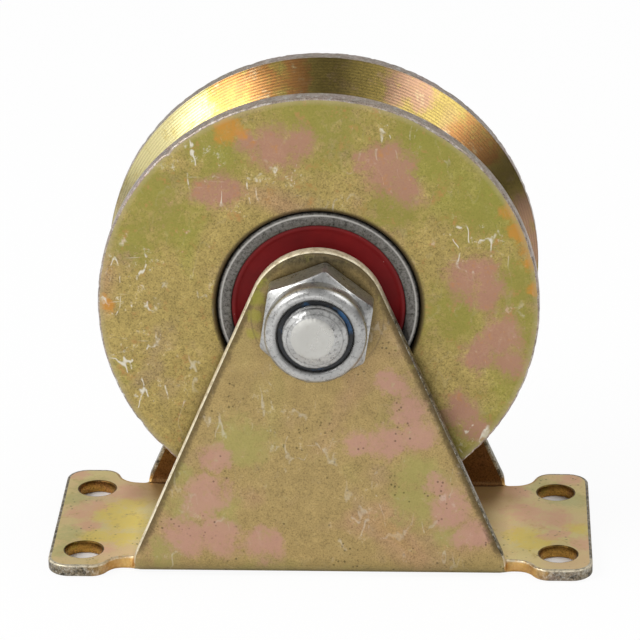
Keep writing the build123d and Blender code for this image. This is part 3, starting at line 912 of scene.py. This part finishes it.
# Painted shade and dark reflection over the rolled edge, with grime, in a band along the cheek's top and
# sides.
frayed = paint.math("ADD", inset, paint.ripple(0.00175, 1300, 0.75))
edge_shade_band = paint.fade(frayed, 0.005, [(0.0005, 0.85), (0.0009, 0.7), (0.0016, 0)])
edge_shade_band = paint.product(edge_shade_band, upright, paint.fade(z_axis, 0.01, [(0.0035, 0), (0.006, 1)]))
colour = paint.blend(edge_shade_band, colour, (0.105, 0.075, 0.035))
from_bolt = paint.length(x_axis, above)
# Painted contact shadow: the cheek darkens round the nut.
colour = paint.times(colour, paint.fade(from_bolt, 0.025, [(0.01, 0.5), (0.011, 0.78), (0.0135, 1)]))
# Painted dark reflection and shade with grime over the top of the cheek, above the nut.
crown_reflection_share = paint.product(paint.fade(above, 0.0125, [(0.00825, 0), (0.01075, 0.85)]), upright)
dark_reflection_and_grime = paint.drift((0.05, 0.042, 0.025), (0.15, 0.125, 0.07), 1200, 5, 0.7, (0.4, 0.6))
colour = paint.blend(crown_reflection_share, colour, dark_reflection_and_grime)
streak = [(-10.9, 54.5, 1.5), (-11.3, 51, 1.3), (-10.6, 57.5, 1.4), (-11.6, 47.5, 1.1)]
colour = paint.stained(colour, (0.36, 0.37, 0.05), 0.55, streak, 0.002, 0.7)
seat_mark = paint.fade(from_bolt, 0.025, [(0.0117, 0), (0.01185, 1), (0.012, 1), (0.012175, 0)])
seat_mark = paint.product(seat_mark, paint.drift(0, 0.55, 110, 3, span=(0.42, 0.55)))
colour = paint.blend(seat_mark, colour, (0.2, 0.15, 0.08))
worn = [(-9, 33, 4), (-3, 24, 5), (11, 17, 4), (20, 7, 4), (-18, 30, 3), (-29, 4, 3), (8, 9, 4), (25, 8, 3)]
mask = paint.drift(0.05, 0.5, 65, 3, span=(0.54, 0.66))
mask = paint.math("MAXIMUM", paint.product(paint.patches(worn, 0.01, 0.7), 0.4), paint.product(mask, 0.6))
colour, marks = scuffed(paint, colour, paint.product(mask, upright), 5)
# Painted light: the ear is brightened next to the cheek, where the cheek and wheel shade it.
ear_light_by_cheek = paint.product(paint.ramp(aside, [(0.032, 0), (0.0345, 1), (0.041, 0)]), on_ear,
                           paint.fade(y_axis, 0.05, [(0.001, 1), (0.011, 0)]))
colour = paint.blend(ear_light_by_cheek, colour, (1.35, 1.35, 1.35), "MULTIPLY")
# Painted light and shade: the ears are painted brighter and the upright faces darker.
colour = paint.blend(on_ear, paint.times(colour, (0.93, 0.89, 0.83)), paint.times(colour, (1.10, 1.06, 0.95)))
relief = paint.bump(marks, 0.25, 0.00005, paint.bump(paint.noise(1500, 5, 0.65), 0.2, 0.00008))
relief = paint.bump(paint.noise(60, 2), 0.25, 0.0004, relief)
bracket_mesh.materials.append(paint.finish(colour, 0.75, paint.drift(0.36, 0.5, 260, 5, 0.6), relief))

paint = Paint("sheared_edge")
edge_tints = ((0.27, 0.225, 0.15), (0.25, 0.22, 0.14), (0.3, 0.23, 0.18), (0.27, 0.22, 0.18),
              (0.33, 0.24, 0.13))
colour = passivated(paint, edge_tints, 70, 3.9)
bright = paint.drift(0, 0.9, 1500, 6, 0.8, (0.5, 0.62))
colour = paint.blend(bright, colour, (0.58, 0.56, 0.5))
torn = paint.noise(1100, 5, 0.75, paint.moved((4, 2, 1)))
colour = paint.times(colour, paint.ramp(torn, [(0.4, 0.25), (0.5, 1)]))
x_axis, y_axis, z_axis = (paint.axis(letter) for letter in "XYZ")
frayed = paint.math("ADD", paint.math("ABSOLUTE", x_axis), paint.ripple(0.006, 500))
neck = paint.product(paint.ramp(frayed, [(0.0395, 1), (0.043, 0)]),
                     paint.fade(z_axis, 0.005, [(0.0031, 1), (0.0043, 0)]))
amber = paint.drift((0.62, 0.34, 0.1), (0.7, 0.44, 0.13), 400, 3)
colour = paint.blend(paint.product(neck, 0.85), colour, amber)
on_cheek = paint.math("GREATER_THAN", z_axis, 0.0045)
at_front = paint.math("LESS_THAN", y_axis, -0.015)
# Painted highlight: the sheared edge of the front cheek, on its left side and top where it faces up, is
# painted pale cream.
lit_edge_share = paint.product(paint.fade(x_axis, 0.05, [(0.011, 1), (0.014, 0)]), on_cheek, at_front)
pale = paint.drift((0.46, 0.38, 0.24), (0.74, 0.66, 0.48), 900, 5, 0.7, (0.38, 0.54))
colour = paint.blend(lit_edge_share, colour, pale)
# Painted highlight: a glinting bright line along the burr at the top of the ears' front edges.
burr_highlight = paint.fade(z_axis, 0.0025, [(0.002075, 0), (0.00225, 0.8)])
glint = paint.drift(0.35, 1, 1300, 4, 0.7, (0.42, 0.54))
burr_highlight = paint.product(burr_highlight, paint.math("SUBTRACT", 1, on_cheek), at_front, glint)
colour = paint.blend(burr_highlight, colour, (0.8, 0.72, 0.54))
metal = paint.math("SUBTRACT", 0.85, paint.product(lit_edge_share, 0.6))
relief = paint.bump(paint.noise(1400, 6, 0.75), 0.5, 0.00016)
bracket_mesh.materials.append(paint.finish(colour, metal, paint.drift(0.3, 0.55, 700), relief))

paint = Paint("shaded_inner_sheet")
inner_tints = ((0.2, 0.1, 0.035), (0.19, 0.11, 0.03), (0.22, 0.095, 0.045), (0.2, 0.095, 0.04),
               (0.26, 0.115, 0.03))
colour = passivated(paint, inner_tints, 50, 1.3)
bracket_mesh.materials.append(paint.finish(colour, 0.85, paint.drift(0.3, 0.44, 300)))

paint = Paint("amber_hole_wall")
wall_tints = ((0.44, 0.24, 0.05), (0.4, 0.27, 0.05), (0.48, 0.22, 0.07), (0.42, 0.2, 0.06),
              (0.52, 0.24, 0.04))
colour = passivated(paint, wall_tints, 160, 7.7)
colour = paint.times(colour, paint.fade(paint.axis("Z"), 0.0025, [(0.001375, 1), (0.002375, 0.35)]))
relief = paint.bump(paint.noise(1200), 0.25, 0.0001)
bracket_mesh.materials.append(paint.finish(colour, 0.9, paint.drift(0.25, 0.42, 500), relief))

# Lock nut and axle bolt: M12 hexagon nut with a collar rolled over its nylon ring, and a hexagon
# bolt with its head at the rear. Both are cold headed and zinc plated bright white.
flat_half = 0.0095
hex_corner_round = 0.0004
washer_radius = 0.0092
washer_step = 0.0005
hex_edge = 0.0001
hex_rim = 0.00008
chamfer_slope = math.tan(math.radians(30))
nut_turn = math.radians(8.8)
nut_hex = 0.006
nut_height = 0.0099
collar = 0.0092
collar_root = 0.0002
collar_roll = 0.0017
lip = 0.0067
lip_sheet = 0.0008
ring_seat = 0.00794
ring_seat_depth = 0.0024
bolt_radius = 0.00594
bolt_bore = 0.00597
head_height = 0.0075
bolt_end = cheek_face + nut_height + 0.0018
thread_pitch = 0.00175
thread_depth = 0.00105
thread_start = -cheek_face - 0.004
thread_phase = 0.414
thread_rows = 96
point_radius = 0.0038
point_slope = 1.5


def hex_radius(angle, turn):
    """Radius of a hexagon with slightly rounded corners; turn is where the first corner points."""
    away = (angle - turn + math.pi / 6) % (math.pi / 3) - math.pi / 6
    flat = flat_half / math.cos(math.pi / 6 - abs(away))
    top = flat_half / math.cos(math.pi / 6) - hex_corner_round * 0.55
    return min(flat, top + (flat - top) * 0.25) if flat > top else flat


def nut_profile(angle):
    """From the bore at the seat, out over the hexagon, in over the rolled collar, and back down inside."""
    reach = hex_radius(angle, nut_turn)
    corner = nut_hex - (reach - flat_half) * chamfer_slope
    ring_top = nut_height - lip_sheet
    points = [(bolt_bore, 0), (washer_radius, 0), (washer_radius, washer_step)]
    points += [(reach - hex_edge, washer_step), (reach, washer_step + hex_edge)]
    points += [(reach, corner - hex_edge), (reach - hex_rim, corner), (flat_half - hex_edge, nut_hex)]
    points += [(collar + collar_root, nut_hex), (collar, nut_hex + collar_root)]
    points += arc_points((collar - collar_roll, nut_height - collar_roll), collar_roll, 0, 90, 9)
    points += arc_points((lip + lip_sheet, ring_top), lip_sheet, 90, 180, 6)
    points += [(ring_seat, ring_top), (ring_seat, ring_top - ring_seat_depth)]
    points += [(bolt_bore, ring_top - ring_seat_depth), (bolt_bore, 0)]
    return [(r, -(cheek_face + y)) for r, y in points]


def bolt_profile(angle):
    """From the head's outer face, over the hexagon, along the shank and the thread to the point."""
    reach = hex_radius(angle, 0)
    corner = cheek_face + head_height - (reach - flat_half) * chamfer_slope
    seat = cheek_face + washer_step
    points = [(0, cheek_face + head_height), (flat_half - hex_edge, cheek_face + head_height)]
    points += [(reach - hex_rim, corner), (reach, corner - hex_edge)]
    points += [(reach, seat + hex_edge), (reach - hex_edge, seat), (washer_radius, seat)]
    points += [(washer_radius, cheek_face), (bolt_radius, cheek_face), (bolt_radius, thread_start)]
    off_centre = 0.0006 * math.cos(angle) - 0.0004 * math.sin(angle)
    for row in range(thread_rows + 1):
        y = thread_start - (bolt_end + thread_start) * row / thread_rows
        phase = ((bolt_end + y) / thread_pitch + thread_phase - angle / (2 * math.pi)) % 1
        tooth = min(1, max(0, (abs(phase - 0.5) * 2 - 0.08) / 0.62))
        radius = bolt_radius - thread_depth * (1 - tooth) * min(1, row / 8)
        rough_point = noise.noise(Vector((math.sin(angle) * 9, math.cos(angle) * 9, y * 2500))) * 0.00008
        point_limit = point_radius + (bolt_end + y) * point_slope + off_centre + rough_point
        points.append((min(radius, point_limit), y))
    return points + [(0.0028, -bolt_end), (0, -bolt_end)]


nut_mesh = turned_mesh("nut_body", nut_profile, 360, 28)
nut = new_piece(nut_mesh, "bracket_assembly", "lock_nut")
bolt_mesh = turned_mesh("bolt_body", bolt_profile, 288, 40)
bolt = new_piece(bolt_mesh, "bracket_assembly", "axle_bolt")

paint = Paint("bright_zinc")
colour = paint.drift((0.39, 0.388, 0.38), (0.52, 0.518, 0.505), 180, 4, 0.6)
stain = paint.drift(0, 0.55, 420, 6, 0.75, (0.56, 0.68))
colour = paint.blend(stain, colour, (0.22, 0.19, 0.15))
pits = paint.drift(0.5, 1, 1700, 5, 0.75, (0.36, 0.48))
y_axis = paint.axis("Y")
end_face = paint.math("LESS_THAN", y_axis, -bolt_end + 0.00002)
colour = paint.times(colour, paint.blend(end_face, pits, (1, 1, 1)))
colour = paint.blend(paint.product(end_face, 0.7), colour, (0.54, 0.53, 0.49))
lip_shade = paint.fade(paint.from_axle(), 0.01, [
    (0.00485, 1), (0.005, 0.6), (0.00515, 1), (0.00565, 1),
    (0.00588, 0.4), (0.00625, 0.4), (0.0069, 0.55), (0.0078, 1),
])
at_nut = paint.math("LESS_THAN", y_axis, -cheek_face - nut_hex)
colour = paint.blend(at_nut, colour, paint.times(colour, lip_shade))
relief = paint.bump(paint.noise(1400, 5, 0.6), 0.15, 0.00006)
relief = paint.bump(paint.noise(260, 2), 0.3, 0.0001, relief)
zinc_paint = paint.finish(colour, 0.9, paint.drift(0.24, 0.38, 500), relief)
nut_mesh.materials.append(zinc_paint)
bolt_mesh.materials.append(zinc_paint)

# Locking ring: a blue nylon ring held under the collar's lip. The bolt's thread cuts into it. It is painted
# near black for the shade under the lip and for grease, but for one patch that shows blue.
paint = Paint("blue_nylon")
blue = paint.drift((0.01, 0.075, 0.2), (0.025, 0.13, 0.3), 300, 3)
shade_and_grease = paint.drift((0.006, 0.007, 0.009), (0.016, 0.018, 0.022), 500)
colour = paint.blend(paint.patches([(6.2, 54, 2.6)], 0.002, 0.3), shade_and_grease, blue)
repaint("nylon_insert", paint.finish(colour, 0, paint.drift(0.35, 0.5, 700, 3)))
